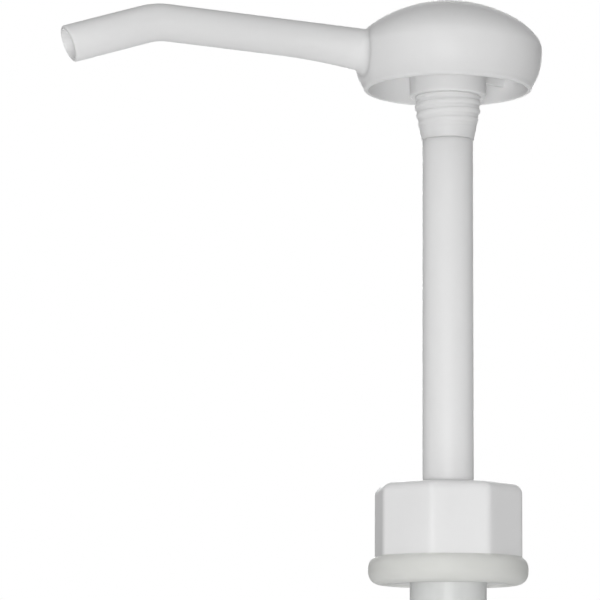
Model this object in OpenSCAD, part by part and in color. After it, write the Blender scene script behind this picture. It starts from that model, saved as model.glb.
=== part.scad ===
// Condiment pump for a one-gallon jug with a 38-400 neck.
// Z is the pump's axis. Z = 0 is the plane where the jug's neck meets the gasket,
// +Z is up through the head, and the spout points along -X.

/* [Head] */
// Widest radius of the mushroom head
head_r = 28.8; // [27:0.1:31]
// Height of the crown above the widest ring
crown_h = 15; // [12:0.5:18]
// Height of the skirt from its rim to the widest ring
skirt_h = 12.6; // [11:0.2:15]
// Radius of the rim
rim_r = 25.8; // [24.5:0.1:26.5]
// Wall of the crown
head_wall = 2; // [1.6:0.1:2.4]
// Wall of the skirt at its rim
rim_wall = 1.5; // [1.3:0.1:1.8]
// Rounding of the rim's outer edge
rim_edge = 1.2; // [0.8:0.1:1.3]
// Roundness of the crown: 2 is an ellipse, less is more like a cone
crown_power = 1.7; // [1.5:0.05:2]
// Flare of the skirt: 1 is a cone, more is steeper under the widest ring
skirt_power = 2.4; // [1.5:0.1:3]
// Ribs under the crown
rib_count = 6; // [6]
// Radius of the hub that holds the stem
hub_r = 11.6; // [10.8:0.1:12.4]

/* [Spout] */
// Outer radius of the spout
spout_r = 5.7; // [5.2:0.1:6]
// Wall of the spout
spout_wall = 1.4; // [1.3:0.1:1.8]
// Thickening of the spout where it leaves the head
spout_flare = 0.75; // [0.2:0.05:1.5]
// Distance from the axis to the bend
spout_reach = 91.7; // [70:0.1:110]
// Length of the stretch past the bend
spout_end_length = 28.1; // [20:0.1:40]
// Upward slope before the bend, in degrees
spout_rise = 3.25; // [0:0.05:8]
// Downward slope past the bend, in degrees
spout_droop = 17.9; // [10:0.1:30]

/* [Stem] */
// Outer radius of the stem
stem_r = 7.7; // [7.4:0.05:7.8]
// Radius of the bore through the stem
stem_bore_r = 4.6; // [4:0.1:4.8]
// Bare length of the stem above the closure
stem_show = 105; // [90:1:120]
// Length of the lock-down thread
lock_length = 13.5; // [12:0.1:13.6]
// Crest radius of the lock-down thread at its top
lock_r = 10.05; // [9.8:0.05:10.1]
// Pitch of the lock-down thread
lock_pitch = 2.7; // [2.6:0.1:3.4]

/* [Closure] */
// Distance across the closure's flats
across_flats = 42.2; // [41:0.1:43]
// Height of the closure
closure_h = 30; // [29:0.5:32]
// Sides of the closure
side_count = 8; // [8]
// Rounding of the closure's corners
corner_r = 3; // [3:0.5:6]
// Rounding of the closure's top edge
top_round = 3; // [2:0.5:3]
// Outer radius of the bead round the closure's foot
bead_r = 24.1; // [24:0.05:25]
// Height of that bead
bead_h = 8.4; // [7:0.1:9]
// Squareness of that bead's section: 2 is round
bead_power = 2.8; // [2:0.1:4]
// How far the closure is turned about the axis, in degrees
closure_turn = 35.5; // [0:0.5:44.5]

/* [Barrel] */
// Bore radius of the barrel
barrel_bore_r = 10; // [10]
// Outer radius of the barrel
barrel_r = 11.5; // [11.4:0.1:11.8]
// Depth of the barrel's open foot below the neck plane
barrel_depth = 166; // [166:1:180]
// Depth of the dip tube's end below the neck plane
tube_depth = 285; // [220:1:320]
// Outer radius of the dip tube
tube_r = 5; // [4.5:0.1:5.2]

/* [Spring] */
// Wire radius of the return spring
wire_r = 0.55; // [0.5:0.05:0.6]
// Mean radius of the spring's coils
coil_r = 6.7; // [6.6:0.05:6.8]
// Turns of the spring
coil_turns = 13; // [10:1:14]

/* [Hidden] */
$fn = 96;

play = 0.05;        // radial play of a running or pushed-in fit
gap = 0.3;          // space left between pieces that must not touch
eps = 0.01;         // overrun of a cut

white = "WhiteSmoke";
natural = "Gainsboro";
steel = "Silver";
seal_grey = "DimGray";

// Heights up the axis
closure_low = -13;
closure_top = closure_low + closure_h;
lock_z = closure_top + stem_show;
hub_z = lock_z + lock_length;
rim_z = hub_z + 1.9;
widest_z = rim_z + skirt_h;
apex_z = widest_z + crown_h;
hub_top_z = widest_z + 7;

// Neck thread of the jug, 38-400: six turns to the inch
neck_pitch = 4.233;
neck_root_r = 19.05;
neck_crest_r = 17.95;
seat_r = 17.3;
plate_h = 0.1;      // thickness of the plates that the closure's outline is drawn with

// Collar and barrel flange
flange_low = 2;
flange_top = 4;
collar_step = 14.2;
collar_top = closure_top + 0.6;
collar_r = 12;
collar_flange_r = 15.2;
collar_foot = -6;
guide_r = stem_r + 0.08;
relief_r = stem_r + 0.4;
lock_gap = 0.4;
wiper_low = 1.4;
wiper_h = 1.8;
wiper_r = 9.2;
snap_in = 11.9;
snap_out = 13.4;
snap_top = 9;

// Travel of the plunger, from its top stop to fully screwed down
travel = hub_z - collar_top - lock_gap;

// Stem ends
neck_r = 6.2;                 // stem inside the lock sleeve and the hub
stem_top = hub_z + 7;
spigot_r = 6.4;               // stem foot inside the piston
spigot_end = -12;
snap_bead_r = 6.8;
snap_bead_low = -10;
snap_bead_high = -9;
seal_z = hub_z + 3.5;         // O-ring between stem and hub
ring_r = 0.9;

// Piston
carrier_top = collar_foot - gap;
carrier_r = 8.6;
groove_r = 7.2;
groove_top = -12.5;
groove_low = -24;
piston_flange_low = -26;
piston_flange_r = 9;
pilot_low = -30;
pilot_r = 5.2;
outlet_seat = -24;
outlet_seat_r = 2.6;
outlet_ball_r = 3.5;
outlet_lift = 2.5;

// Barrel foot
foot_top = -barrel_depth + 3;
foot_plug_r = 9.9;
foot_ring_z = -barrel_depth + 1.4;
inlet_seat_r = 3;
inlet_ball_r = 4;
inlet_lift = 3;
cage_in_r = 4.4;
cage_out_r = 5.6;
cage_flange_top = foot_top + 1.5;
foot_flange_low = -barrel_depth - 4;
foot_cone_low = -barrel_depth - 10;
socket_floor = -barrel_depth - 6;
socket_end = -barrel_depth - 20;
socket_r = tube_r + 1.6;
tube_wall = 1;

// Height of a ball's centre over the edge of the round seat that it rests on
function seated(ball_r, seat_r) = sqrt(pow(ball_r, 2) - pow(seat_r, 2)) + play;
outlet_ball_z = outlet_seat + seated(outlet_ball_r, outlet_seat_r);
inlet_ball_z = foot_top + seated(inlet_ball_r, inlet_seat_r);
outlet_cage_low = outlet_ball_z + outlet_ball_r + outlet_lift + play;
inlet_cage_roof = inlet_ball_z + inlet_ball_r + inlet_lift + play;

// Centreline of the spout
bend_angle = spout_rise + spout_droop;
spout_z = widest_z - 2.15;
flare_start = 30;
flare_end = 54;

// ---- helpers ----

module tube(out_r, in_r, low, high) {
  difference() {
    translate([0, 0, low]) cylinder(h = high - low, r = out_r);
    translate([0, 0, low - eps]) cylinder(h = high - low + 2 * eps, r = in_r);
  }
}

module rod(r, low, high) {
  translate([0, 0, low]) cylinder(h = high - low, r = r);
}

module cone(low_r, high_r, low, high) {
  translate([0, 0, low]) cylinder(h = high - low, r1 = low_r, r2 = high_r);
}

module o_ring(centre_r, z, r) {
  translate([0, 0, z]) rotate_extrude() translate([centre_r, 0]) circle(r, $fn = 24);
}

// Points of a crown from its widest ring to its apex
function crown(r, z, h, steps = 24) = [
  for (i = [0 : steps]) let (a = 90 * i / steps)
    [i == steps ? 0 : r * pow(cos(a), 2 / crown_power), z + h * pow(sin(a), 2 / crown_power)]
];

// Points of a quarter round from below towards the side, about its centre
function quarter(x, z, r, steps = 6) = [
  for (i = [0 : steps]) let (a = -90 + 75 * i / steps) [x + r * cos(a), z + r * sin(a)]
];

// Points of a skirt from its foot up to just under the widest ring
function skirt(foot_r, foot_z, top_r, steps = 8) = [
  for (i = [steps : -1 : 1]) let (t = i / steps)
    [top_r + (foot_r - top_r) * pow(t, skirt_power), widest_z + (foot_z - widest_z) * t]
];

// ---- the head ----

module head_outside() {
  rotate_extrude()
    polygon(concat([[0, rim_z]],
      quarter(rim_r - rim_edge, rim_z + rim_edge, rim_edge),
      skirt(rim_r, rim_z + rim_edge, head_r),
      crown(head_r, widest_z, crown_h)));
}

// The hollow of the head with its walls moved out by grow, open at the foot
module head_hollow(grow = 0) {
  mouth_r = rim_r - rim_wall + grow;
  hollow_r = head_r - head_wall + grow;
  rotate_extrude()
    polygon(concat([[0, rim_z - 1], [mouth_r, rim_z - 1]],
      skirt(mouth_r, rim_z, hollow_r),
      crown(hollow_r, widest_z, crown_h - head_wall + grow)));
}

module head_ribs() {
  rib_low = rim_z + 5;
  rib_t = 1.2;
  rib_in = hub_r + play;
  rib_bite = 0.6;
  difference() {
    intersection() {
      for (i = [0 : rib_count - 1])
        rotate([0, 0, 30 + 360 / rib_count * i])
          translate([rib_in, -rib_t / 2, rib_low])
            cube([head_r - rib_in - 1, rib_t, crown_h + skirt_h]);
      head_hollow(rib_bite);
    }
    rod(rib_in, rib_low - 1, hub_top_z + play);
  }
}

module head_cap() {
  peg_r = 6;
  color(white) difference() {
    union() {
      difference() {
        head_outside();
        head_hollow();
      }
      head_ribs();
      rod(peg_r, hub_top_z, apex_z - 1);
    }
    spout_root(play);
  }
}

// ---- nozzle: hub and spout in one moulding ----

// Puts its children at the axis, with X along the rising stretch of the spout
module along_spout() {
  translate([0, 0, spout_z]) rotate([0, spout_rise, 0]) rotate([0, -90, 0]) children();
}

// The straight stretch, the rounded elbow and the drooping end, with radius r.
// Local Z runs along the spout and local X is up.
module spout_run(r, over = 0) {
  straight = spout_reach / cos(spout_rise);
  along_spout() {
    cylinder(h = straight, r = r);
    translate([0, 0, straight]) {
      sphere(r = r + play);
      rotate([0, -bend_angle, 0]) cylinder(h = spout_end_length + over, r = r);
    }
  }
}

// The thicker root where the spout leaves the head
module spout_root(extra = 0) {
  root_r = spout_r + spout_flare;
  along_spout() {
    cylinder(h = flare_start, r = root_r + extra);
    translate([0, 0, flare_start])
      cylinder(h = flare_end - flare_start, r1 = root_r + extra, r2 = spout_r + extra);
  }
}

module nozzle() {
  color(white) difference() {
    union() {
      rod(hub_r, hub_z, hub_top_z);
      spout_root();
      spout_run(spout_r);
    }
    rod(neck_r + play, hub_z - eps, stem_top + play);
    rod(stem_bore_r, stem_top, spout_z);
    translate([0, 0, spout_z]) sphere(r = stem_bore_r);
    spout_run(spout_r - spout_wall, 1);
  }
}

// ---- stem and lock-down thread ----

// Crest radius of the lock thread at height h above its foot
lock_foot_r = 7.9;
lock_taper = 9.5;
function lock_crest(h) =
  h > lock_taper ? lock_r : lock_foot_r + (lock_r - lock_foot_r) * h / lock_taper;

// Points up a ridged side: crests at lock_crest plus grow, roots depth away from them
function ridges(length, grow, depth) = [
  for (h = [0.4 : lock_pitch : length - lock_pitch])
    let (root = max(neck_r + 1, lock_crest(h) + grow + min(depth, 0)),
         crest = lock_crest(h + 1) + grow + max(depth, 0))
      each [[root, h], [crest, h + 0.27 * lock_pitch], [crest, h + 0.56 * lock_pitch],
            [root, h + 0.82 * lock_pitch]]
];

module lock_sleeve() {
  color(white) translate([0, 0, lock_z]) rotate_extrude()
    polygon(concat([[neck_r + play, 0], [stem_r, 0]],
      ridges(lock_length, 0, -0.9),
      [[lock_r - 0.9, lock_length - 0.6], [lock_r - 0.9, lock_length - play],
       [neck_r + play, lock_length - play]]));
}

module stem() {
  color(white) difference() {
    union() {
      rod(stem_r, collar_foot, lock_z);
      rod(neck_r, lock_z, stem_top);
      rod(spigot_r, spigot_end, collar_foot);
      rod(snap_bead_r, snap_bead_low, snap_bead_high);
    }
    rod(stem_bore_r, spigot_end - eps, stem_top + eps);
    tube(neck_r + 1, neck_r - ring_r, seal_z - ring_r, seal_z + ring_r);
  }
}

module stem_seal_ring() {
  color(seal_grey) o_ring(neck_r - ring_r / 2, seal_z, ring_r / 2);
}

// ---- closure ----

// A thin plate with the closure's outline, moved in by inset
module sided_plate(inset, z) {
  least_r = 0.3;
  half_side = 180 / side_count;
  centre = (across_flats / 2 - corner_r) / cos(half_side);
  for (i = [0 : side_count - 1])
    rotate([0, 0, 360 / side_count * i + half_side]) translate([centre, 0, z])
      cylinder(h = plate_h, r = max(corner_r - inset, least_r), $fn = 32);
}

module closure_outside() {
  steps = 4;
  rotate([0, 0, closure_turn]) hull() {
    sided_plate(0, closure_low);
    for (i = [0 : steps]) {
      a = 90 * i / steps;
      sided_plate(top_round * (1 - cos(a)), closure_top - plate_h - top_round * (1 - sin(a)));
    }
  }
}

// Points up the outside of the bead, a squarish oval
function bead_side(steps = 12) = [
  for (i = [0 : steps]) let (a = -90 + 180 * i / steps)
    [bead_r - bead_h / 2 * (1 - pow(cos(a), 2 / bead_power)),
     closure_low + bead_h / 2 * (1 + sign(a) * pow(abs(sin(a)), 2 / bead_power))]
];

module closure_bead() {
  rotate_extrude()
    polygon(concat([[neck_root_r, closure_low + bead_h], [neck_root_r, closure_low]], bead_side()));
}

module closure() {
  wall_top = collar_step + gap;
  color(white) difference() {
    union() {
      closure_outside();
      closure_bead();
    }
    rod(collar_r + gap, wall_top - 1, closure_top + 1);
    rod(neck_crest_r, -1, wall_top);
    for (i = [0 : 3])
      rotate_extrude()
        polygon([[neck_crest_r - 1, 0.4 - i * neck_pitch],
          [neck_crest_r, 0.4 - i * neck_pitch],
          [neck_root_r, -0.4 - i * neck_pitch],
          [neck_root_r, -2.4 - i * neck_pitch],
          [neck_crest_r, -3.2 - i * neck_pitch],
          [neck_crest_r - 1, -3.2 - i * neck_pitch]]);
    rod(neck_crest_r, closure_low - 1, 0);
  }
}

// ---- collar that guides the stem ----

module lock_socket() {
  foot = lock_z - travel;
  translate([0, 0, foot]) rotate_extrude()
    polygon(concat([[0, 0], [lock_crest(0) + lock_gap, 0]],
      ridges(lock_length - 1.5, lock_gap, 0.7),
      [[lock_r + lock_gap, lock_length - 1.5], [lock_r + lock_gap, lock_length],
       [0, lock_length]]));
}

module chaplet() {
  color(white) difference() {
    union() {
      rod(collar_r, flange_top, collar_top);
      rod(collar_flange_r, flange_top, collar_step);
      rod(barrel_bore_r - play, collar_foot, flange_top);
    }
    lock_socket();
    rod(guide_r, collar_foot - eps, wiper_low);
    rod(wiper_r, wiper_low, wiper_low + wiper_h);
    rod(relief_r, wiper_low, lock_z - travel + eps);
    tube(snap_out + play, snap_in - play, flange_top - eps, snap_top + play);
  }
}

module stem_wiper() {
  color(seal_grey) translate([0, 0, wiper_low]) rotate_extrude()
    polygon([[wiper_r - play, play], [wiper_r - play, wiper_h - play],
      [stem_r + play, wiper_h - play], [relief_r, 1], [relief_r + 0.3, play]]);
}

module neck_gasket() {
  color(seal_grey) tube(seat_r, barrel_r + 0.5 + play, 0, flange_low);
}

// ---- barrel ----

module barrel() {
  vent_r = 1;
  vent_z = -18;
  color(natural) difference() {
    union() {
      rod(barrel_r, -barrel_depth, flange_low);
      rod(barrel_r + 0.5, -1, flange_low);
      rod(seat_r - 0.3, flange_low, flange_top);
      rod(snap_out, flange_top, snap_top);
    }
    rod(barrel_bore_r, -barrel_depth - eps, flange_top + eps);
    rod(snap_in, flange_top, snap_top + eps);
    translate([0, 0, vent_z]) rotate([0, 90, 0])
      cylinder(h = barrel_r + 1, r = vent_r, $fn = 32);
  }
}

// ---- piston and outlet valve ----

module piston_carrier() {
  color(natural) difference() {
    union() {
      rod(carrier_r, groove_top, carrier_top);
      rod(groove_r, groove_low, groove_top);
      rod(piston_flange_r, piston_flange_low, groove_low);
      rod(pilot_r, pilot_low, piston_flange_low);
    }
    rod(spigot_r + play, spigot_end - gap, carrier_top + eps);
    rod(snap_bead_r + play, snap_bead_low - gap, snap_bead_high + gap);
    rod(stem_bore_r, outlet_seat, spigot_end);
    rod(outlet_seat_r, pilot_low - eps, outlet_seat + eps);
  }
}

module piston_seal() {
  lip = 2.2;
  high = groove_top - play;
  low = groove_low + play;
  body_r = 9.3;
  lip_r = barrel_bore_r - play;
  color(seal_grey) rotate_extrude()
    polygon([[groove_r + play, low], [8.4, low], [9.1, low + lip], [lip_r - 0.5, low],
      [lip_r, low + 0.3], [body_r, low + 2 * lip], [body_r, high - 2 * lip],
      [lip_r, high - 0.3], [lip_r - 0.5, high], [9.1, high - lip], [8.8, high],
      [groove_r + play, high]]);
}

module outlet_cage() {
  high = spigot_end - gap - play;
  ring_in = outlet_ball_r + 0.4;
  finger = 1.4;
  color(natural) {
    tube(stem_bore_r - play, ring_in, outlet_cage_low, high);
    intersection() {
      tube(stem_bore_r - play, 2, outlet_cage_low, high);
      for (i = [0 : 2])
        rotate([0, 0, 120 * i]) translate([0, -finger / 2, outlet_cage_low])
          cube([stem_bore_r, finger, high - outlet_cage_low]);
    }
  }
}

module outlet_ball() {
  color(steel) translate([0, 0, outlet_ball_z]) sphere(outlet_ball_r);
}

// ---- return spring ----

// A closed-end helix swept with an octagon
module return_spring() {
  low = cage_flange_top + wire_r + play;
  high = piston_flange_low - wire_r - play;
  sides = 8;
  per_turn = 20;
  steps = coil_turns * per_turn;
  // Closed end turns: the first and last turn climb only a wire's thickness
  close = 2 * wire_r + 0.1;
  open_rise = (high - low - 2 * close) / (coil_turns - 2);
  height = function (t) t < 1 ? close * t
    : t > coil_turns - 1 ? high - low - close * (coil_turns - t)
    : close + open_rise * (t - 1);
  points = [
    for (i = [0 : steps]) let (t = i / per_turn, a = 360 * t)
      for (j = [0 : sides - 1]) let (b = 360 * j / sides)
        [(coil_r + wire_r * cos(b)) * cos(a), (coil_r + wire_r * cos(b)) * sin(a),
         low + height(t) + wire_r * sin(b)]
  ];
  faces = concat(
    [[for (j = [0 : sides - 1]) j]],
    [for (i = [0 : steps - 1]) for (j = [0 : sides - 1]) let (k = (j + 1) % sides)
      each [[i * sides + j, (i + 1) * sides + k, i * sides + k],
            [i * sides + j, (i + 1) * sides + j, (i + 1) * sides + k]]],
    [[for (j = [sides - 1 : -1 : 0]) steps * sides + j]]);
  color(steel) polyhedron(points, faces, convexity = 10);
}

// ---- inlet valve and dip tube ----

module inlet_cage() {
  roof = 1.2;
  window = 3.2;
  color(natural) difference() {
    union() {
      rod(foot_plug_r - 0.1, foot_top, cage_flange_top);
      rod(cage_out_r, foot_top, inlet_cage_roof + roof);
    }
    rod(cage_in_r, foot_top - eps, inlet_cage_roof);
    rod(1.5, inlet_cage_roof - eps, inlet_cage_roof + roof + eps);
    for (i = [0 : 2])
      rotate([0, 0, 120 * i]) translate([0, -window / 2, foot_top + 3])
        cube([cage_out_r + 1, window, inlet_cage_roof - foot_top - 4]);
  }
}

module inlet_ball() {
  color(steel) translate([0, 0, inlet_ball_z]) sphere(inlet_ball_r);
}

module foot_valve() {
  color(natural) difference() {
    union() {
      rod(foot_plug_r, -barrel_depth - 1, foot_top);
      rod(barrel_r, foot_flange_low, -barrel_depth - play);
      cone(socket_r, barrel_r - 1, foot_cone_low, foot_flange_low);
      rod(socket_r, socket_end, foot_cone_low);
    }
    rod(inlet_seat_r, socket_end - eps, foot_top + eps);
    rod(tube_r + play, socket_end - eps, socket_floor);
    tube(foot_plug_r + 1, foot_plug_r - ring_r, foot_ring_z - ring_r / 2 - play,
      foot_ring_z + ring_r / 2 + play);
  }
}

module foot_seal_ring() {
  color(seal_grey) o_ring(foot_plug_r - ring_r / 2, foot_ring_z, ring_r / 2);
}

module dip_tube() {
  bevel = 30;
  cut = 4 * tube_r;
  color(natural) difference() {
    tube(tube_r, tube_r - tube_wall, -tube_depth, socket_floor - play);
    translate([-tube_r, 0, -tube_depth]) rotate([0, -bevel, 0])
      translate([-cut, -cut / 2, -cut]) cube([2 * cut, cut, cut]);
  }
}

head_cap();
nozzle();
lock_sleeve();
stem();
stem_seal_ring();
closure();
chaplet();
stem_wiper();
neck_gasket();
barrel();
piston_carrier();
piston_seal();
outlet_cage();
outlet_ball();
return_spring();
inlet_cage();
inlet_ball();
foot_valve();
foot_seal_ring();
dip_tube();
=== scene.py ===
import math

import bmesh
import bpy
from mathutils import Matrix, Vector


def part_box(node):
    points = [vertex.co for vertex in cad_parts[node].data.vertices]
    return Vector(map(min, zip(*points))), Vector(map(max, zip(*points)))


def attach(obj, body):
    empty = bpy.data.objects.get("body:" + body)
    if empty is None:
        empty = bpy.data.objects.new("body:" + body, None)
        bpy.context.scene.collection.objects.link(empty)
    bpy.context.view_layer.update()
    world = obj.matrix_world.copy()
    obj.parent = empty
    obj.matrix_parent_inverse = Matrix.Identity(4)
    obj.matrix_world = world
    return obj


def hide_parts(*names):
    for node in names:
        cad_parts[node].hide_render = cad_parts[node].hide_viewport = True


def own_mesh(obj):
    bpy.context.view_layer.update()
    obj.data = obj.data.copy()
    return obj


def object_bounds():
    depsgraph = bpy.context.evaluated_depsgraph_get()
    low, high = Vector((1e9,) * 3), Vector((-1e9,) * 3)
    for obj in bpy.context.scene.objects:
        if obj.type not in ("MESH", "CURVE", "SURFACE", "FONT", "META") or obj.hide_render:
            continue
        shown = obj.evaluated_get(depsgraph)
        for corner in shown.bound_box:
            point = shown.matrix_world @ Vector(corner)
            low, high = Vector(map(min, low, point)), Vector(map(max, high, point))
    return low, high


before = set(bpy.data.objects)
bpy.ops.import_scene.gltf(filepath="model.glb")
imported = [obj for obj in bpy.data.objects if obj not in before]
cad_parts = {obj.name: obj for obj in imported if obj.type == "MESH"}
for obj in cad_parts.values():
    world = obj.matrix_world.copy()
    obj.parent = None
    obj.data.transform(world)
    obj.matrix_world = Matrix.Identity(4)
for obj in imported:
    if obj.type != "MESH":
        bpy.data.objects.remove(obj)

cad_low, cad_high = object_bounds()
MM = 0.001
TURN = 2 * math.pi

# The visible pieces are made here in millimetres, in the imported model's own frame:
# Z is the pump's axis, Z = 0 is the plane of the jug's neck, the spout points along -X.


def span(node):
    """Lowest and highest corner of a CAD node, in millimetres."""
    low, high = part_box(node)
    return low / MM, high / MM


# ---------------------------------------------------------------- sizes

cap_low, cap_high = span("head_cap")
nozzle_low, nozzle_high = span("nozzle")
sleeve_low, sleeve_high = span("lock_sleeve")
_, stem_high = span("stem")
closure_low, closure_high = span("closure")
collar_low, collar_high = span("chaplet")
barrel_low, _ = span("barrel")
foot_low, foot_high = span("foot_valve")
tube_low, tube_high = span("dip_tube")
spring_low, spring_high = span("return_spring")

STEM_R = stem_high.x
HUB_R = nozzle_high.y
HUB_Z = nozzle_low.z
RIM_Z = cap_low.z
APEX_Z = cap_high.z
HEAD_R = cap_high.y
LOCK_Z = sleeve_low.z
LOCK_R = sleeve_high.x
CLOSURE_TOP = closure_high.z
CLOSURE_FOOT = closure_low.z

# Sizes that more than one piece uses
WIDEST_Z = RIM_Z + 12.6  # where the head is widest, above its rim
SPOUT_BORE_R = 4.5
LOCK_PITCH = 2.7
STEM_BORE_R = 4.6
SOCKET_R = 6.25         # hole in the hub and the lock sleeve that the stem's neck fits
FLANGE_TOP = 4.0
BARREL_BORE_R = 10.0
BARREL_R = 11.5
SNAP_IN = 11.9          # the barrel's ring that snaps into the collar
SNAP_OUT = 13.4
SNAP_TOP = 9.0

# ---------------------------------------------------------------- mesh tools


def new_object(name, mesh):
    obj = bpy.data.objects.new(name, mesh)
    bpy.context.scene.collection.objects.link(obj)
    return obj


def object_from(name, bm, sharp=35.0):
    """A smooth-shaded object from a bmesh in millimetres, creased past an angle in degrees."""
    bmesh.ops.remove_doubles(bm, verts=bm.verts, dist=1e-4)
    bmesh.ops.dissolve_degenerate(bm, edges=bm.edges, dist=1e-5)
    bmesh.ops.recalc_face_normals(bm, faces=bm.faces)
    bmesh.ops.scale(bm, vec=(MM, MM, MM), verts=bm.verts)
    mesh = bpy.data.meshes.new(name)
    bm.to_mesh(mesh)
    bm.free()
    mesh.shade_smooth()
    mesh.set_sharp_from_angle(angle=math.radians(sharp))
    return new_object(name, mesh)


def outline(corners, steps=6):
    """Points along an outline of (r, z, round) corners, each rounded to its own radius."""
    points = []
    count = len(corners)
    for i, (r, z, rounding) in enumerate(corners):
        here = Vector((r, z))
        to_last = Vector(corners[i - 1][:2]) - here
        to_next = Vector(corners[(i + 1) % count][:2]) - here
        if rounding <= 0 or to_last.length < 1e-6 or to_next.length < 1e-6:
            points.append((r, z))
            continue
        half = to_last.angle(to_next) / 2
        reach = min(rounding / math.tan(half), to_last.length * 0.49, to_next.length * 0.49)
        start = here + to_last.normalized() * reach
        end = here + to_next.normalized() * reach
        for k in range(steps + 1):
            t = k / steps
            # A quadratic curve stays within a hair of the arc for corners this small
            point = start * (1 - t) ** 2 + here * 2 * t * (1 - t) + end * t ** 2
            points.append((point.x, point.y))
    return points


def spin_mesh(column, segments=144, closed=True):
    """A bmesh whose side at each angle is column(angle), a list of (r, z) points of equal count."""
    bm = bmesh.new()
    rings = []
    for j in range(segments):
        angle = TURN * j / segments
        c, s = math.cos(angle), math.sin(angle)
        rings.append([bm.verts.new((r * c, r * s, z)) for r, z in column(angle)])
    count = len(rings[0])
    for j in range(segments):
        a, b = rings[j], rings[(j + 1) % segments]
        for i in range(count if closed else count - 1):
            k = (i + 1) % count
            bm.faces.new((a[i], b[i], b[k], a[k]))
    return bm


def lathe(name, corners, segments=144, steps=6, closed=True):
    """A turned piece from the corners of its half section."""
    points = outline(corners, steps)
    return object_from(name, spin_mesh(lambda angle: points, segments, closed))


def smooth(t):
    t = min(max(t, 0.0), 1.0)
    return t * t * (3 - 2 * t)


def mix(a, b, t):
    return a + (b - a) * t


def thread_shape(phase, crest=0.22, flank=0.22):
    """Height of a thread's section, from 0 at its root to 1 at its crest, over one pitch."""
    away = abs((phase % 1.0) - 0.5)
    return 1 - smooth((away - crest / 2) / flank)


def thread_rows(angle, low, high, pitch, radius, rows=18):
    """Points up a side that carries a right-hand thread; the rows follow the helix.

    radius(z, phase) is the side's radius; phase 0.5 is the middle of a crest.
    """
    start = math.floor((low - 1) / pitch) - 1
    turns = math.ceil((high - low) / pitch) + 3
    points = []
    for k in range(turns * rows + 1):
        z = pitch * (start + k / rows + angle / TURN)
        z = min(max(z, low), high)
        points.append((radius(z, z / pitch - angle / TURN), z))
    return points


def join_boolean(target, other, operation):
    """Applies one solid to another and deletes the second."""
    modifier = target.modifiers.new("cut", "BOOLEAN")
    modifier.operation = operation
    modifier.solver = "EXACT"
    modifier.object = other
    apply_modifiers(target)
    bpy.data.objects.remove(other)


def apply_modifiers(obj):
    graph = bpy.context.evaluated_depsgraph_get()
    mesh = bpy.data.meshes.new_from_object(obj.evaluated_get(graph))
    obj.modifiers.clear()
    obj.data = mesh


def crease(obj, sharp=35.0):
    obj.data.shade_smooth()
    obj.data.set_sharp_from_angle(angle=math.radians(sharp))
    return obj


# ---------------------------------------------------------------- materials


def link(tree, source, socket, target, entry):
    tree.links.new(source.outputs[socket], target.inputs[entry])


def noise(tree, scale, detail=2.0, rough=0.5, stretch=(1, 1, 1)):
    place = tree.nodes.new("ShaderNodeTexCoord")
    mapping = tree.nodes.new("ShaderNodeMapping")
    mapping.inputs["Scale"].default_value = stretch
    texture = tree.nodes.new("ShaderNodeTexNoise")
    texture.inputs["Scale"].default_value = scale
    texture.inputs["Detail"].default_value = detail
    texture.inputs["Roughness"].default_value = rough
    link(tree, place, "Object", mapping, "Vector")
    link(tree, mapping, "Vector", texture, "Vector")
    return texture


def ramp(tree, source, low, high, socket="Fac"):
    """Maps 0.3..0.7 of a noise to the range low..high."""
    node = tree.nodes.new("ShaderNodeMapRange")
    node.inputs["From Min"].default_value = 0.3
    node.inputs["From Max"].default_value = 0.7
    node.inputs["To Min"].default_value = low
    node.inputs["To Max"].default_value = high
    link(tree, source, socket, node, "Value")
    return node


def tint(tree, source, socket, dark, light):
    """Mixes two colours by a value from 0 to 1."""
    node = tree.nodes.new("ShaderNodeMix")
    node.data_type = "RGBA"
    node.inputs[6].default_value = (*dark, 1)
    node.inputs[7].default_value = (*light, 1)
    link(tree, source, socket, node, 0)
    return node


def bump(tree, source, socket, strength, distance, after=None):
    node = tree.nodes.new("ShaderNodeBump")
    node.inputs["Strength"].default_value = strength
    node.inputs["Distance"].default_value = distance
    link(tree, source, socket, node, "Height")
    if after is not None:
        link(tree, after, "Normal", node, "Normal")
    return node


def shader(name):
    material = bpy.data.materials.new(name)
    material.use_nodes = True
    return material, material.node_tree, material.node_tree.nodes["Principled BSDF"]


def moulded(name, dark, light, rough, grain=0.12, flow=(1, 1, 0.25), subsurface=0.06, depth=1.5):
    """Moulded plastic: faint flow marks, a fine skin and cloudy gloss."""
    material, tree, surface = shader(name)
    cloud = noise(tree, 45, 3, 0.55, flow)
    skin = noise(tree, 2600, 2, 0.5)
    ripple = noise(tree, 260, 2, 0.5, flow)
    smear = noise(tree, 120, 4, 0.6)
    colour = tint(tree, ramp(tree, cloud, 0, 1), "Result", dark, light)
    link(tree, colour, 2, surface, "Base Color")
    gloss = ramp(tree, smear, rough - 0.05, rough + 0.07)
    link(tree, gloss, "Result", surface, "Roughness")
    broad = bump(tree, ripple, "Fac", 0.10, 0.0002)
    fine = bump(tree, skin, "Fac", grain, 0.00005, broad)
    link(tree, fine, "Normal", surface, "Normal")
    surface.inputs["IOR"].default_value = 1.49
    surface.inputs["Specular IOR Level"].default_value = 0.45
    surface.inputs["Subsurface Weight"].default_value = subsurface
    surface.inputs["Subsurface Radius"].default_value = (1.0, 1.0, 1.0)
    surface.inputs["Subsurface Scale"].default_value = depth * MM
    return material


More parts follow.
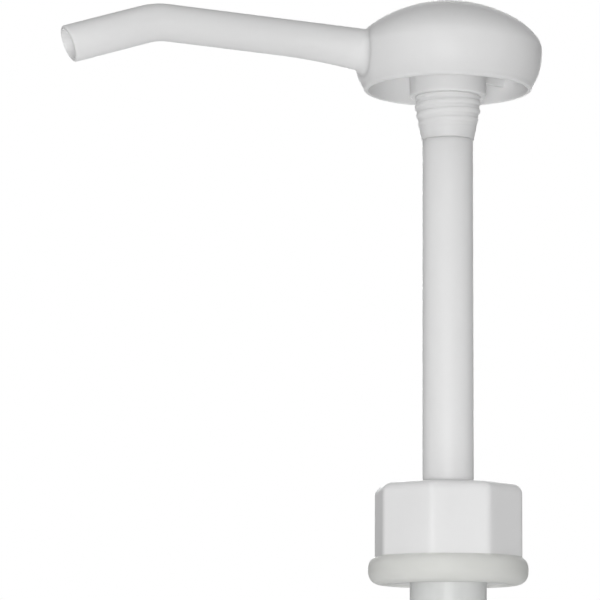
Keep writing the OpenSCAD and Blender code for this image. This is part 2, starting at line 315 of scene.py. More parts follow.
def steel(name, rough, stretch):
    """Drawn or polished stainless steel with fine scratches."""
    material, tree, surface = shader(name)
    scratch = noise(tree, 900, 4, 0.7, stretch)
    stain = noise(tree, 90, 3)
    colour = tint(tree, ramp(tree, stain, 0, 1), "Result", (0.50, 0.50, 0.51), (0.66, 0.66, 0.67))
    link(tree, colour, 2, surface, "Base Color")
    link(tree, ramp(tree, scratch, rough, rough + 0.14), "Result", surface, "Roughness")
    link(tree, bump(tree, scratch, "Fac", 0.15, 0.00003), "Normal", surface, "Normal")
    surface.inputs["Metallic"].default_value = 1.0
    return material


def elastomer(name, dark, light, rough):
    """Moulded rubber with a dull, slightly dusty skin."""
    material, tree, surface = shader(name)
    dust = noise(tree, 160, 4, 0.6)
    skin = noise(tree, 1800, 3, 0.6)
    colour = tint(tree, ramp(tree, dust, 0, 1), "Result", dark, light)
    link(tree, colour, 2, surface, "Base Color")
    link(tree, ramp(tree, dust, rough - 0.06, rough + 0.08), "Result", surface, "Roughness")
    link(tree, bump(tree, skin, "Fac", 0.3, 0.00006), "Normal", surface, "Normal")
    return material


white_head = moulded("white_head", (0.87, 0.87, 0.87), (0.91, 0.91, 0.91), 0.50, 0.12,
                     (1, 1, 0.25), 0.7, 4.0)
white_nozzle = moulded("white_nozzle", (0.88, 0.88, 0.88), (0.92, 0.92, 0.92), 0.50, 0.12,
                       (0.25, 1, 1), 0.4, 3.0)
white_stem = moulded("white_stem", (0.88, 0.88, 0.88), (0.92, 0.92, 0.92), 0.48, 0.08,
                     (1, 1, 0.1), 0.6, 3.0)
white_closure = moulded("white_closure", (0.88, 0.88, 0.88), (0.92, 0.92, 0.92), 0.50, 0.2,
                        (1, 1, 0.25), 0.5, 2.5)
natural_bead = moulded("natural_bead", (0.74, 0.745, 0.72), (0.78, 0.785, 0.76), 0.55, 0.2,
                       (1, 1, 1), 0.7, 4.0)
white_collar = moulded("white_collar", (0.86, 0.86, 0.86), (0.90, 0.90, 0.90), 0.50, 0.2,
                       (1, 1, 0.25), 0.4, 2.0)
natural_barrel = moulded("natural_barrel", (0.76, 0.77, 0.76), (0.81, 0.82, 0.81), 0.42, 0.1,
                         (1, 1, 0.08), 0.25)
natural_tube = moulded("natural_tube", (0.76, 0.77, 0.76), (0.81, 0.82, 0.81), 0.33, 0.1,
                       (1, 1, 0.05), 0.25)
natural_piston = moulded("natural_piston", (0.70, 0.71, 0.70), (0.77, 0.78, 0.77), 0.4)
spring_steel = steel("spring_steel", 0.24, (1, 1, 6))
ball_steel = steel("ball_steel", 0.10, (1, 1, 1))
black_rubber = elastomer("black_rubber", (0.020, 0.020, 0.021), (0.035, 0.035, 0.036), 0.55)
pale_rubber = elastomer("pale_rubber", (0.55, 0.55, 0.53), (0.62, 0.62, 0.60), 0.6)
liner_foam = elastomer("liner_foam", (0.60, 0.60, 0.58), (0.68, 0.68, 0.66), 0.75)


def finish_piece(obj, material, body, slot, *nodes):
    """Gives a piece its material and body, and hides the CAD nodes that it stands for."""
    obj.data.materials.clear()
    obj.data.materials.append(material)
    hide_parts(*nodes)
    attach(obj, body)
    return obj


# ---------------------------------------------------------------- head cap

CROWN_H = APEX_Z - WIDEST_Z
CROWN_POWER = 1.7
HEAD_WALL = 2.0
RIM_R = 25.8
RIM_EDGE = 1.2
RIM_WALL = 1.5
SKIRT_POWER = 2.4
RIB_COUNT = 6
RIB_HALF = 0.6
RIB_BITE = 0.8          # how far a rib runs into the crown's wall
HUB_IN = 12.0           # distances along the spout, inside and outside the head's wall
HEAD_OUT = 60.0


def crown_points(radius, height, steps=40):
    """The crown from its widest ring to its apex."""
    points = []
    for i in range(steps):
        a = math.pi / 2 * i / steps
        points.append((radius * math.cos(a) ** (2 / CROWN_POWER),
                       WIDEST_Z + height * math.sin(a) ** (2 / CROWN_POWER)))
    return points + [(0.0, WIDEST_Z + height)]


def skirt_points(steps=14):
    """The outside of the skirt from its rounded rim up to the widest ring."""
    points = []
    for i in range(7):
        a = math.radians(mix(-90, 0, i / 6))
        points.append((RIM_R - RIM_EDGE * (1 - math.cos(a)), RIM_Z + RIM_EDGE * (1 + math.sin(a))))
    r0, z0 = points[-1]
    for i in range(1, steps):
        t = i / steps
        points.append((mix(r0, HEAD_R, 1 - (1 - t) ** SKIRT_POWER), mix(z0, WIDEST_Z, t)))
    return points


def head_section():
    outside = skirt_points() + crown_points(HEAD_R, CROWN_H)
    inside = crown_points(HEAD_R - HEAD_WALL, CROWN_H - HEAD_WALL)[::-1]
    inner_low = RIM_R - RIM_WALL
    lip = [(mix(HEAD_R - HEAD_WALL, inner_low, t ** SKIRT_POWER),
            mix(WIDEST_Z, RIM_Z + 0.3, t)) for t in (0.2, 0.4, 0.6, 0.8, 1.0)]
    return outside + inside + lip + [(inner_low + 0.1, RIM_Z + 0.08), (inner_low + 0.3, RIM_Z)]


def head_cap():
    """The hollow dome with its ribs, open where the spout passes through its wall."""
    section = head_section()
    cap = object_from("head_cap_shell", spin_mesh(lambda angle: section, 192), 30)
    for i in range(RIB_COUNT):
        angle = math.radians(30 + 360 / RIB_COUNT * i)
        join_boolean(cap, head_rib(angle), "UNION")
    # The hole for the spout stays a little narrower than the spout's outside
    hole = spout_solid("cap_hole", lambda s: SPOUT_BORE_R + 1.0, HUB_IN, HEAD_OUT)
    join_boolean(cap, hole, "DIFFERENCE")
    return crease(cap, 32)


def head_rib(angle):
    """A thin web that follows the crown's inside from the hub to the wall."""
    low = RIM_Z + 5
    inside = crown_points(HEAD_R - HEAD_WALL + RIB_BITE, CROWN_H - HEAD_WALL + RIB_BITE)
    profile = [p for p in inside if p[0] > HUB_R + 0.3]
    profile = [(HEAD_R - HEAD_WALL - 0.2, low)] + profile + [(HUB_R + 0.1, profile[-1][1] - 0.2),
                                                             (HUB_R + 0.1, low)]
    bm = bmesh.new()
    sides = []
    for y in (-RIB_HALF, RIB_HALF):
        sides.append([bm.verts.new((r, y, z)) for r, z in profile])
    bm.faces.new(sides[0])
    bm.faces.new(sides[1][::-1])
    for i in range(len(profile)):
        k = (i + 1) % len(profile)
        bm.faces.new((sides[0][i], sides[0][k], sides[1][k], sides[1][i]))
    bmesh.ops.rotate(bm, cent=(0, 0, 0), matrix=Matrix.Rotation(angle, 3, "Z"), verts=bm.verts)
    return object_from("head_rib", bm)


# ---------------------------------------------------------------- nozzle

SPOUT_R = 5.58
SPOUT_RISE = math.radians(3.25)
SPOUT_DROOP = math.radians(17.9)
SPOUT_REACH = 91.7
SPOUT_END = 28.1
SPOUT_Z = WIDEST_Z - 2.27
BEND_R = 19.0
TIP_SLANT = 0.5         # how far the lip's cut leans
FLARE = 0.75
FLARE_START = 54.0
FLARE_LENGTH = 24.0
END_SWELL = 0.1
FILLET_ABOVE = 1.6
FILLET_BELOW = 3.6
SIDES_ROUND = 64
LIP_R = 0.7
MOUTH_FLARE = 0.35


def spout_path():
    """(distance, x, z, slope) along the spout's centreline: a rise, a tight bend and a drooping end."""
    turn = SPOUT_RISE + SPOUT_DROOP
    tangent = BEND_R * math.tan(turn / 2)
    straight = SPOUT_REACH / math.cos(SPOUT_RISE) - tangent
    points = []
    for i in range(61):
        s = straight * i / 60
        points.append((s, -s * math.cos(SPOUT_RISE), SPOUT_Z + s * math.sin(SPOUT_RISE), SPOUT_RISE))
    x, z, s = points[-1][1], points[-1][2], straight
    steps = 16
    for i in range(1, steps + 1):
        slope = SPOUT_RISE - turn * (i - 0.5) / steps
        step = BEND_R * turn / steps
        x -= step * math.cos(slope)
        z += step * math.sin(slope)
        s += step
        points.append((s, x, z, SPOUT_RISE - turn * i / steps))
    last = SPOUT_END - tangent
    for i in range(1, 21):
        t = last * i / 20
        points.append((s + t, x - t * math.cos(SPOUT_DROOP), z - t * math.sin(SPOUT_DROOP),
                       -SPOUT_DROOP))
    return points


PATH = spout_path()
SPOUT_LENGTH = PATH[-1][0]


def spout_point(s):
    """Centre and slope at a distance along the spout; past its end the line goes straight on."""
    if s >= SPOUT_LENGTH:
        _, x, z, slope = PATH[-1]
        over = s - SPOUT_LENGTH
        return x - over * math.cos(slope), z + over * math.sin(slope), slope
    for (s0, x0, z0, a0), (s1, x1, z1, a1) in zip(PATH, PATH[1:]):
        if s <= s1:
            t = (s - s0) / (s1 - s0)
            return mix(x0, x1, t), mix(z0, z1, t), mix(a0, a1, t)


def spout_ring(bm, s, radius):
    """A ring of vertices square to the spout at distance s."""
    x, z, slope = spout_point(s)
    up = Vector((math.sin(slope), 0, math.cos(slope)))
    centre = Vector((x, 0, z))
    side = Vector((0, 1, 0))
    turns = [TURN * j / SIDES_ROUND for j in range(SIDES_ROUND)]
    return [bm.verts.new(centre + radius * (math.cos(turn) * up + math.sin(turn) * side))
            for turn in turns]


def bridge(bm, rings):
    for a, b in zip(rings, rings[1:]):
        for j in range(len(a)):
            k = (j + 1) % len(a)
            bm.faces.new((a[j], a[k], b[k], b[j]))


def spout_solid(name, radius, start, end, step=1.5):
    """A solid round bar along the spout, for cutting."""
    bm = bmesh.new()
    count = max(2, int((end - start) / step))
    rings = [spout_ring(bm, mix(start, end, i / count), radius(mix(start, end, i / count)))
             for i in range(count + 1)]
    bridge(bm, rings)
    bm.faces.new(rings[0])
    bm.faces.new(rings[-1][::-1])
    return object_from(name, bm)


def flare(s):
    """Thickening of the spout's underside towards the head, as half of what is added."""
    return FLARE * min(max((FLARE_START - s) / FLARE_LENGTH, 0.0), 1.0) ** 2


def spout_radius(s):
    """Outer radius along the spout, with the flare and a slightly fuller drooping end."""
    return SPOUT_R + flare(s) + END_SWELL * smooth((s - SPOUT_REACH + 10) / 20)


def dome_outline():
    """The dome's outside from low on the skirt to high on the crown, as close points."""
    crown = crown_points(HEAD_R, CROWN_H, 240)
    return [Vector(p) for p in skirt_points(120) + crown]


DOME = dome_outline()


def nearest_on_dome(point):
    """Distance from the dome's outside (negative inside it) and the outward normal there."""
    flat = Vector((point.x, point.y))
    here = Vector((flat.length, point.z))
    best = min(range(1, len(DOME) - 1), key=lambda i: (DOME[i] - here).length_squared)
    along = (DOME[best + 1] - DOME[best - 1]).normalized()
    normal = Vector((along.y, -along.x))
    distance = (here - DOME[best]).dot(normal)
    out = flat.normalized() * normal.x
    return distance, Vector((out.x, out.y, normal.y))


def ring_frame(s):
    """Centre of the spout's outside at distance s, and the way up there; the flare hangs below."""
    x, z, slope = spout_point(s)
    up = Vector((math.sin(slope), 0, math.cos(slope)))
    return Vector((x, 0, z)) - flare(s) * up, up


def around(up, turn):
    return math.cos(turn) * up + math.sin(turn) * Vector((0, 1, 0))


def rolling_ball(turn):
    """Where a ball rests between spout and dome: s, its centre, the dome's normal, its radius."""
    ball = mix(FILLET_ABOVE, FILLET_BELOW, (1 - math.cos(turn)) / 2)
    near, far = HEAD_R - 6, HEAD_R + 12
    for _ in range(30):
        s = (near + far) / 2
        centre, up = ring_frame(s)
        centre = centre + (spout_radius(s) + ball) * around(up, turn)
        distance, normal = nearest_on_dome(centre)
        if distance < ball:
            near = s
        else:
            far = s
    return s, centre, normal, ball


def tip_reach(turn):
    """Distance to the spout's lip, whose cut leans a little so that its top is the longer side."""
    return SPOUT_LENGTH + TIP_SLANT * math.cos(turn)


def spout_body():
    """The spout as a solid bar: inside the head, its fillet on the dome, its length and its lip."""
    bm = bmesh.new()
    turns = [TURN * j / SIDES_ROUND for j in range(SIDES_ROUND)]
    rests = [rolling_ball(turn) for turn in turns]
    rings = []
    for s in (4.0, 12.0, 20.0, HEAD_R - HEAD_WALL + 0.2):
        centre, up = ring_frame(s)
        rings.append([centre + SPOUT_R * around(up, turn) for turn in turns])
    rings.append([centre - ball * normal - 1.2 * normal for _, centre, normal, ball in rests])
    steps = 12
    for i in range(steps + 1):
        share = (i / steps) ** 1.7
        ring = []
        for turn, (s, centre, normal, ball) in zip(turns, rests):
            _, up = ring_frame(s)
            start, end = -normal, -around(up, turn)
            ring.append(centre + ball * start.slerp(end, share))
        rings.append(ring)
    stations = 80
    for i in range(1, stations + 1):
        share = i / stations
        ring = []
        for turn, (first, _, _, _) in zip(turns, rests):
            # Rings start where each side's fillet ends and soon stand square to the spout
            s = mix(mix(first, HEAD_R + 6, smooth(share * 8)), tip_reach(turn) - LIP_R, share)
            centre, up = ring_frame(s)
            ring.append(centre + spout_radius(s) * around(up, turn))
        rings.append(ring)
    for i in range(1, 7):
        a = math.pi / 2 * i / 6
        ring = []
        for turn in turns:
            centre, up = ring_frame(tip_reach(turn) - LIP_R + LIP_R * math.sin(a))
            radius = spout_radius(SPOUT_LENGTH) - LIP_R + LIP_R * math.cos(a)
            ring.append(centre + radius * around(up, turn))
        rings.append(ring)
    rings = [[bm.verts.new(point) for point in ring] for ring in rings]
    bridge(bm, rings)
    bm.faces.new(rings[0])
    bm.faces.new(rings[-1][::-1])
    return object_from("spout_body", bm)


def bore_radius(s):
    """The bore's radius along the spout, opening out over the last millimetre."""
    return SPOUT_BORE_R + MOUTH_FLARE * smooth(s - SPOUT_LENGTH + 1)


def nozzle():
    """Hub and spout as one moulding, with the stem's socket and the bore cut out."""
    hub_top = WIDEST_Z + 7
    body = lathe("nozzle_body", [(0, HUB_Z, 0), (HUB_R, HUB_Z, 0.5), (HUB_R, hub_top, 0.8),
                                 (0, hub_top, 0)], 128, 5, False)
    join_boolean(body, spout_body(), "UNION")
    socket_top = stem_high.z + 0.05
    socket = lathe("socket", [(0, HUB_Z - 1, 0), (SOCKET_R, HUB_Z - 1, 0),
                              (SOCKET_R, socket_top, 0), (STEM_BORE_R, socket_top, 0),
                              (STEM_BORE_R, SPOUT_Z, 0), (STEM_BORE_R, SPOUT_Z + 3.5, 3),
                              (0, SPOUT_Z + STEM_BORE_R, 0)], 96, 4, False)
    join_boolean(body, socket, "DIFFERENCE")
    bore = spout_solid("bore", bore_radius, 0, SPOUT_LENGTH + 1, 0.9)
    join_boolean(body, bore, "DIFFERENCE")
    return crease(body, 35)


# ---------------------------------------------------------------- lock sleeve

SLEEVE_FOOT_R = 7.9
SLEEVE_TAPER = 9.5
THREAD_DEPTH = 0.5
THREAD_FADE = 14.0      # height over which the lock thread grows to its full depth


def lock_crest(h):
    """Crest radius of the lock thread at height h over the sleeve's foot."""
    return mix(SLEEVE_FOOT_R, LOCK_R, min(h / SLEEVE_TAPER, 1.0))


def lock_sleeve():
    """The tapered sleeve under the hub, with the coarse thread that locks the pump down."""
    low, high = sleeve_low.z, sleeve_high.z

    def radius(z, phase):
        h = z - low
        depth = THREAD_DEPTH * smooth(h / THREAD_FADE) * smooth((high - 0.2 - z) / 1.2)
        root = lock_crest(h) - depth
        return max(root + depth * thread_shape(phase), STEM_R - 0.02)

    def column(angle):
        side = thread_rows(angle, low + 0.15, high - 0.2, LOCK_PITCH, radius)
        return ([(SOCKET_R, high), (SOCKET_R, low), (STEM_R - 0.15, low)] + side
                + [(side[-1][0] - 0.2, high)])

    return object_from("lock_sleeve_threaded", spin_mesh(column, 192), 40)


# ---------------------------------------------------------------- stem


def stem():
    """The rod with its spigot and snap bead at the foot and its neck at the top."""
    spigot_r, snap_r, neck_r = 6.4, 6.8, 6.2
    foot, spigot_top = -12, -6
    return lathe("stem_rod", [
        (spigot_r, foot, 0.3), (spigot_r, -10, 0), (snap_r, -9.8, 0.1), (snap_r, -9.2, 0.1),
        (spigot_r, -9, 0), (spigot_r, spigot_top, 0), (STEM_R, spigot_top, 0.3),
        (STEM_R, LOCK_Z, 0.1), (neck_r, LOCK_Z, 0), (neck_r, stem_high.z, 0.4),
        (STEM_BORE_R, stem_high.z, 0.3), (STEM_BORE_R, foot, 0.3)], 128, 4)


# ---------------------------------------------------------------- closure

SIDES = 8
CLOSURE_TURN = math.radians(35.5)
HALF_SIDE = math.pi / SIDES
FLAT_R = 21.1
CORNER_ROUND = 3.0
TOP_ROUND = 3.0
BEAD_ROUND = 4.2
BEAD_R = 24.0
BEAD_POWER = 2.8
BEAD_POWER_BELOW = 2.3
BEAD_TOP = CLOSURE_FOOT + 2 * BEAD_ROUND
NECK_ROOT_R = 19.05
NECK_CREST_R = 17.95
NECK_PITCH = 4.233
NECK_TURNS = 1.9


def flats_radius(angle, inset):
    """Outline of the closure's rounded octagon, moved in by inset."""
    a = (angle - CLOSURE_TURN + HALF_SIDE) % (2 * HALF_SIDE) - HALF_SIDE
    flat = FLAT_R - inset
    centre = (flat - CORNER_ROUND) / math.cos(HALF_SIDE)
    # The corner's arc begins where the flat is tangent to it
    edge_angle = math.atan2(centre * math.sin(HALF_SIDE), flat)
    if abs(a) <= edge_angle:
        return flat / math.cos(a)
    b = HALF_SIDE - abs(a)
    return centre * math.cos(b) + math.sqrt(CORNER_ROUND ** 2 - (centre * math.sin(b)) ** 2)


def soft_max(a, b, blend=0.7):
    """The larger of two radii, with the crease between them filled."""
    h = max(blend - abs(a - b), 0.0) / blend
    return max(a, b) + h * h * blend / 4


def bead_radius(z):
    """Outside of the bead, a squarish oval that is rounder below its middle."""
    share = (z - CLOSURE_FOOT - BEAD_ROUND) / BEAD_ROUND
    power = BEAD_POWER if share > 0 else BEAD_POWER_BELOW
    return BEAD_R - BEAD_ROUND * (1 - (1 - min(abs(share), 1.0) ** power) ** (1 / power))


def closure_side(angle, z):
    return soft_max(flats_radius(angle, 0), bead_radius(z))


def neck_thread(z, phase):
    """The side inside the closure, with not quite two turns of the jug's thread."""
    turns = (z - (CLOSURE_FOOT + 2.5)) / NECK_PITCH
    fade = smooth(turns / 0.25) * smooth((NECK_TURNS - turns) / 0.25)
    return NECK_ROOT_R - (NECK_ROOT_R - NECK_CREST_R) * thread_shape(phase, 0.16, 0.2) * fade


def closure():
    """The screw cap: rounded octagon, bead at its foot, stepped hole and neck thread."""
    top = CLOSURE_TOP
    wall_top = 14.5
    hole = 12.3
    flats_only = -3.0

    def column(angle):
        points = []
        for i in range(16):
            # Close steps where the bead turns under, wider ones up its side
            z = CLOSURE_FOOT + BEAD_ROUND * (1 - math.cos(math.pi / 2 * i / 15))
            points.append((bead_radius(z), z))
        while z < flats_only:
            z += 0.2
            points.append((closure_side(angle, z), z))
        for i in range(1, 12):
            points.append((flats_radius(angle, 0), mix(z, top - TOP_ROUND, i / 11)))
        for i in range(1, 13):
            a = math.pi / 2 * i / 12
            points.append((flats_radius(angle, TOP_ROUND * (1 - math.cos(a))),
                           top - TOP_ROUND * (1 - math.sin(a))))
        points += [(hole + 0.5, top), (hole + 0.15, top - 0.15), (hole, top - 0.5),
                   (hole, wall_top), (NECK_CREST_R - 0.6, wall_top), (NECK_CREST_R, wall_top - 0.6),
                   (NECK_CREST_R, 0.3), (NECK_ROOT_R - 0.4, 0)]
        side = thread_rows(angle, CLOSURE_FOOT + 0.8, -0.4, NECK_PITCH, neck_thread, 20)
        points += side[::-1]
        points += [(NECK_ROOT_R + 0.6, CLOSURE_FOOT + 0.1)]
        return points

    return object_from("closure_cap", spin_mesh(column, 288), 40)


# ---------------------------------------------------------------- collar

TRAVEL = 117.5          # of the plunger, from its top stop to fully screwed down


def collar():
    """The collar, with the socket of the lock thread at its top and a groove for the barrel's ring."""
    low, high = collar_low.z, collar_high.z
    foot = LOCK_Z - TRAVEL
    guide = STEM_R + 0.08
    plug_r = BARREL_BORE_R - 0.05
    step_z, step_r = 14.2, 15.2
    gap, groove = 0.4, 0.7

    def radius(z, phase):
        crest = lock_crest(z - foot) + gap
        return crest + groove * (1 - thread_shape(phase, 0.3, 0.2)) * smooth(high - 1.0 - z)

    def column(angle):
        side = thread_rows(angle, foot + 0.3, high - 0.5, LOCK_PITCH, radius)
        return ([(plug_r, FLANGE_TOP), (plug_r, low + 0.8), (9.2, low), (guide + 0.4, low),
                 (guide, low + 0.4), (guide, 1.4), (STEM_R + 0.4, 1.6), (STEM_R + 0.4, foot)] + side
                + [(11.0, high), (11.6, high), (11.9, high - 0.1), (12.0, high - 0.4),
                   (12.0, step_z), (14.8, step_z), (15.1, step_z - 0.1), (step_r, 13.8),
                   (step_r, FLANGE_TOP), (SNAP_OUT + 0.05, FLANGE_TOP),
                   (SNAP_OUT + 0.05, SNAP_TOP + 0.05), (SNAP_IN - 0.05, SNAP_TOP + 0.05),
                   (SNAP_IN - 0.05, FLANGE_TOP)])

    return object_from("collar_guide", spin_mesh(column, 160), 40)


# ---------------------------------------------------------------- barrel, foot and dip tube


def barrel():
    """The cylinder with its flange, its snap ring and a vent hole near the top."""
    low = barrel_low.z
    neck_r, flange_r, flange_low = 12.0, 17.0, 2.0
    tube = lathe("barrel_tube", [
        (BARREL_BORE_R, low, 0.3), (BARREL_R, low, 0.4), (BARREL_R, -1.4, 0.3),
        (neck_r, -0.9, 0.3), (neck_r, flange_low, 0), (flange_r, flange_low, 0.3),
        (flange_r, FLANGE_TOP, 0.5), (SNAP_OUT, FLANGE_TOP, 0.2), (SNAP_OUT, SNAP_TOP, 0.5),
        (SNAP_IN, SNAP_TOP, 0.4), (SNAP_IN, FLANGE_TOP, 0), (BARREL_BORE_R, FLANGE_TOP, 0.4)],
        144, 5)
    vent = lathe("vent", [(0, 8, 0), (1, 8, 0), (1, 14, 0), (0, 14, 0)], 32, 2, False)
    vent.data.transform(Matrix.Translation((0, 0, -18 * MM)) @ Matrix.Rotation(math.pi / 2, 4, "Y"))
    join_boolean(tube, vent, "DIFFERENCE")
    return crease(tube, 40)


def foot_valve():
    """The plug with its O-ring groove, the shoulder under the barrel and the tube's socket."""
    end, socket = barrel_low.z, foot_low.z
    seat_r, plug_r, groove_r, tube_r = 3.0, 9.9, 9.0, 5.05
    return lathe("foot_socket", [
        (seat_r, foot_high.z, 0.2), (plug_r, foot_high.z, 0.3), (plug_r, end + 1.95, 0),
        (groove_r, end + 1.9, 0), (groove_r, end + 0.9, 0), (plug_r, end + 0.85, 0),
        (plug_r, end - 0.05, 0), (BARREL_R, end - 0.05, 0.4), (BARREL_R, end - 4.0, 0.8),
        (10.4, end - 4.4, 0.6), (6.7, end - 10.2, 1.5), (6.6, socket, 0.5),
        (tube_r, socket, 0.4), (tube_r, end - 6, 0), (seat_r, end - 6, 0.2)], 128, 5)


def dip_tube():
    """The suction tube, cut off slantwise so that it can't seal against the jug's floor."""
    low, high = tube_low.z, tube_high.z
    out, bore = 5, 4
    bevel = math.radians(-30)
    tube = lathe("dip_tube_bevelled", [(bore, low - 1, 0), (out, low - 1, 0), (out, high, 0.2),
                                       (bore, high, 0.2)], 96, 3)
    cutter = lathe("cutter", [(0, -20, 0), (20, -20, 0), (20, 0, 0), (0, 0, 0)], 32, 1, False)
    cutter.data.transform(Matrix.Translation((-out * MM, 0, low * MM))
                          @ Matrix.Rotation(bevel, 4, "Y"))
    join_boolean(tube, cutter, "DIFFERENCE")
    return crease(tube, 40)


# ---------------------------------------------------------------- return spring


def smooth_rise(t):
    """A straight climb with soft ends, for the pitch of the coils."""
    return t - math.sin(TURN * t) * 0.02 / TURN


def return_spring():
    """A round-wire spring whose first and last turns lie close, as they do on a closed end."""
    wire, coil, turns = 0.55, 6.7, 13.0
    low, high = spring_low.z + wire, spring_high.z - wire
    close = 2 * wire + 0.1
    per_turn, sides = 36, 12
    steps = int(turns * per_turn)
    bm = bmesh.new()
    rings = []
    for i in range(steps + 1):
        t = turns * i / steps
        if t < 1:
            z = low + close * t
        elif t > turns - 1:
            z = high - close * (turns - t)
        else:
            z = mix(low + close, high - close, smooth_rise((t - 1) / (turns - 2)))
        a = TURN * t
        out = Vector((math.cos(a), math.sin(a), 0))
        rings.append([bm.verts.new(out * (coil + wire * math.cos(TURN * j / sides))
                                   + Vector((0, 0, z + wire * math.sin(TURN * j / sides))))
                      for j in range(sides)])
    bridge(bm, rings)
    bm.faces.new(rings[0])
    bm.faces.new(rings[-1][::-1])
    return object_from("return_spring_wire", bm)


# ---------------------------------------------------------------- pieces

finish_piece(head_cap(), white_head, "plunger", "head_plastic", "head_cap")
finish_piece(nozzle(), white_nozzle, "plunger", "head_plastic", "nozzle")
finish_piece(lock_sleeve(), white_stem, "plunger", "stem_plastic", "lock_sleeve")
finish_piece(stem(), white_stem, "plunger", "stem_plastic", "stem")
closure_cap = finish_piece(closure(), white_closure, "closure", "closure_plastic", "closure")
closure_cap.data.materials.append(natural_bead)
for face in closure_cap.data.polygons:
    if face.center.z < BEAD_TOP * MM and face.center.xy.length > NECK_ROOT_R * MM:
        face.material_index = 1
finish_piece(collar(), white_collar, "barrel", "collar_plastic", "chaplet")
finish_piece(barrel(), natural_barrel, "barrel", "barrel_plastic", "barrel")
finish_piece(foot_valve(), natural_barrel, "barrel", "barrel_plastic", "foot_valve")
finish_piece(dip_tube(), natural_tube, "barrel", "tube_plastic", "dip_tube")
spring = finish_piece(return_spring(), spring_steel, "barrel", "spring_steel", "return_spring")
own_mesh(spring)

carried = {
    "stem_seal_ring": black_rubber, "foot_seal_ring": black_rubber, "stem_wiper": black_rubber,
    "neck_gasket": liner_foam, "piston_carrier": natural_piston, "piston_seal": pale_rubber,
    "outlet_cage": natural_piston, "inlet_cage": natural_piston, "outlet_ball": ball_steel,
    "inlet_ball": ball_steel,
}
for node, material in carried.items():
    node_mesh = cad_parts[node].data
    node_mesh.materials.clear()
    node_mesh.materials.append(material)

# ---------------------------------------------------------------- floor, light and camera

FLOOR_Z = cad_low.z - 0.0005
FLOOR_HALF = 4000       # millimetres from the middle to an edge
FADE_START = 0.75       # metres from the middle
FADE_END = 1.40


def stage_material():
    """Pale paper that fades into the white background away from the object."""
    material, tree, surface = shader("stage_paper")
    fibre = noise(tree, 300, 3)
    colour = tint(tree, ramp(tree, fibre, 0, 1), "Result", (0.78, 0.78, 0.78), (0.80, 0.80, 0.80))
    link(tree, colour, 2, surface, "Base Color")
    surface.inputs["Roughness"].default_value = 0.9
    place = tree.nodes.new("ShaderNodeTexCoord")
    away = tree.nodes.new("ShaderNodeVectorMath")
    away.operation = "LENGTH"
    fade = tree.nodes.new("ShaderNodeMapRange")
    fade.interpolation_type = "SMOOTHSTEP"
    fade.inputs["From Min"].default_value = FADE_START
    fade.inputs["From Max"].default_value = FADE_END
    clear = tree.nodes.new("ShaderNodeBsdfTransparent")
    faded = tree.nodes.new("ShaderNodeMixShader")
    link(tree, place, "Object", away, 0)
    link(tree, away, "Value", fade, "Value")
    link(tree, fade, "Result", faded, 0)
    link(tree, surface, "BSDF", faded, 1)
    link(tree, clear, "BSDF", faded, 2)
    link(tree, faded, "Shader", tree.nodes["Material Output"], "Surface")
    return material


def stage_floor():
    bm = bmesh.new()
    bmesh.ops.create_grid(bm, x_segments=8, y_segments=8, size=FLOOR_HALF)
    bmesh.ops.translate(bm, vec=(0, 0, FLOOR_Z / MM), verts=bm.verts)
    floor = object_from("stage_floor", bm)
    floor.data.materials.append(stage_material())


def area_light(name, position, target, size, power):
    data = bpy.data.lights.new(name, "AREA")
    data.shape = "DISK"
    data.size = size
    data.energy = power
    light = bpy.data.objects.new(name, data)
    bpy.context.scene.collection.objects.link(light)
    light.location = position
    light.rotation_euler = (Vector(target) - Vector(position)).to_track_quat("-Z", "Y").to_euler()


def pale_world():
    """White behind the object, and a dimmer even sky that lights it."""
    world = bpy.data.worlds.new("studio")
    world.use_nodes = True
    tree = world.node_tree
    tree.nodes.clear()
    seen = tree.nodes.new("ShaderNodeBackground")
    seen.inputs["Color"].default_value = (1, 1, 1, 1)
    seen.inputs["Strength"].default_value = 1.0
    sky = tree.nodes.new("ShaderNodeBackground")
    sky.inputs["Color"].default_value = (1, 1, 1, 1)
    sky.inputs["Strength"].default_value = 0.21
    path = tree.nodes.new("ShaderNodeLightPath")
    both = tree.nodes.new("ShaderNodeMixShader")
    out = tree.nodes.new("ShaderNodeOutputWorld")
    link(tree, path, "Is Camera Ray", both, 0)
    link(tree, sky, "Background", both, 1)
    link(tree, seen, "Background", both, 2)
    link(tree, both, "Shader", out, "Surface")
    bpy.context.scene.world = world


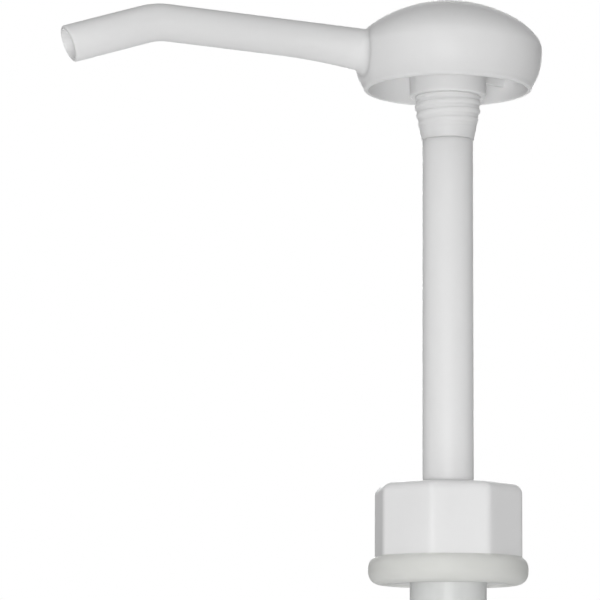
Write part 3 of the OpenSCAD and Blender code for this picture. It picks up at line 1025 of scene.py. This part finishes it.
# The camera stands below the head and looks up at it
LENS = 204.0            # millimetres, like the sensor's width
SENSOR = 36.0
CAMERA_AWAY = 1.020     # metres, like its height
CAMERA_Z = -0.066
CAMERA_TURN = math.radians(-19.0)
CAMERA_PITCH = math.radians(7.76)
CAMERA_ROLL = math.radians(0.28)
AXIS_OFF_CENTRE = math.radians(2.514344)


def camera():
    data = bpy.data.cameras.new("camera")
    data.sensor_width = SENSOR
    data.lens = LENS
    data.clip_start = 0.01
    data.clip_end = 100.0
    cam = bpy.data.objects.new("camera", data)
    bpy.context.scene.collection.objects.link(cam)
    back = Vector((math.sin(CAMERA_TURN), -math.cos(CAMERA_TURN), 0))
    cam.location = back * CAMERA_AWAY + Vector((0, 0, CAMERA_Z))
    heading = CAMERA_TURN + AXIS_OFF_CENTRE
    turn = (Matrix.Rotation(heading, 4, "Z")
            @ Matrix.Rotation(math.pi / 2 + CAMERA_PITCH, 4, "X")
            @ Matrix.Rotation(CAMERA_ROLL, 4, "Z"))
    cam.rotation_euler = turn.to_euler()
    bpy.context.scene.camera = cam


stage_floor()
pale_world()
camera()
image_right = Vector((math.cos(CAMERA_TURN), math.sin(CAMERA_TURN), 0))
towards_camera = Vector((math.sin(CAMERA_TURN), -math.cos(CAMERA_TURN), 0))
middle = Vector((0, 0, 0.08))


def studio_light(name, turn, lift, away, size, power):
    """A soft disc light, placed by its turn from the camera's side (positive to the image's right)."""
    turn, lift = math.radians(turn), math.radians(lift)
    flat = towards_camera * math.cos(turn) + image_right * math.sin(turn)
    direction = flat * math.cos(lift) + Vector((0, 0, math.sin(lift)))
    area_light(name, middle + direction * away, middle, size, power)


studio_light("key", -2, -10, 0.85, 0.12, 3.0)
studio_light("top", 0, 60, 1.20, 1.0, 2.7)
studio_light("left", -80, 10, 1.20, 0.8, 1.4)
studio_light("right", 80, 10, 1.20, 0.8, 0.75)
studio_light("rear", 180, 15, 1.40, 0.9, 13.0)

bpy.context.scene.view_settings.view_transform = "Standard"
bpy.context.scene.view_settings.look = "None"
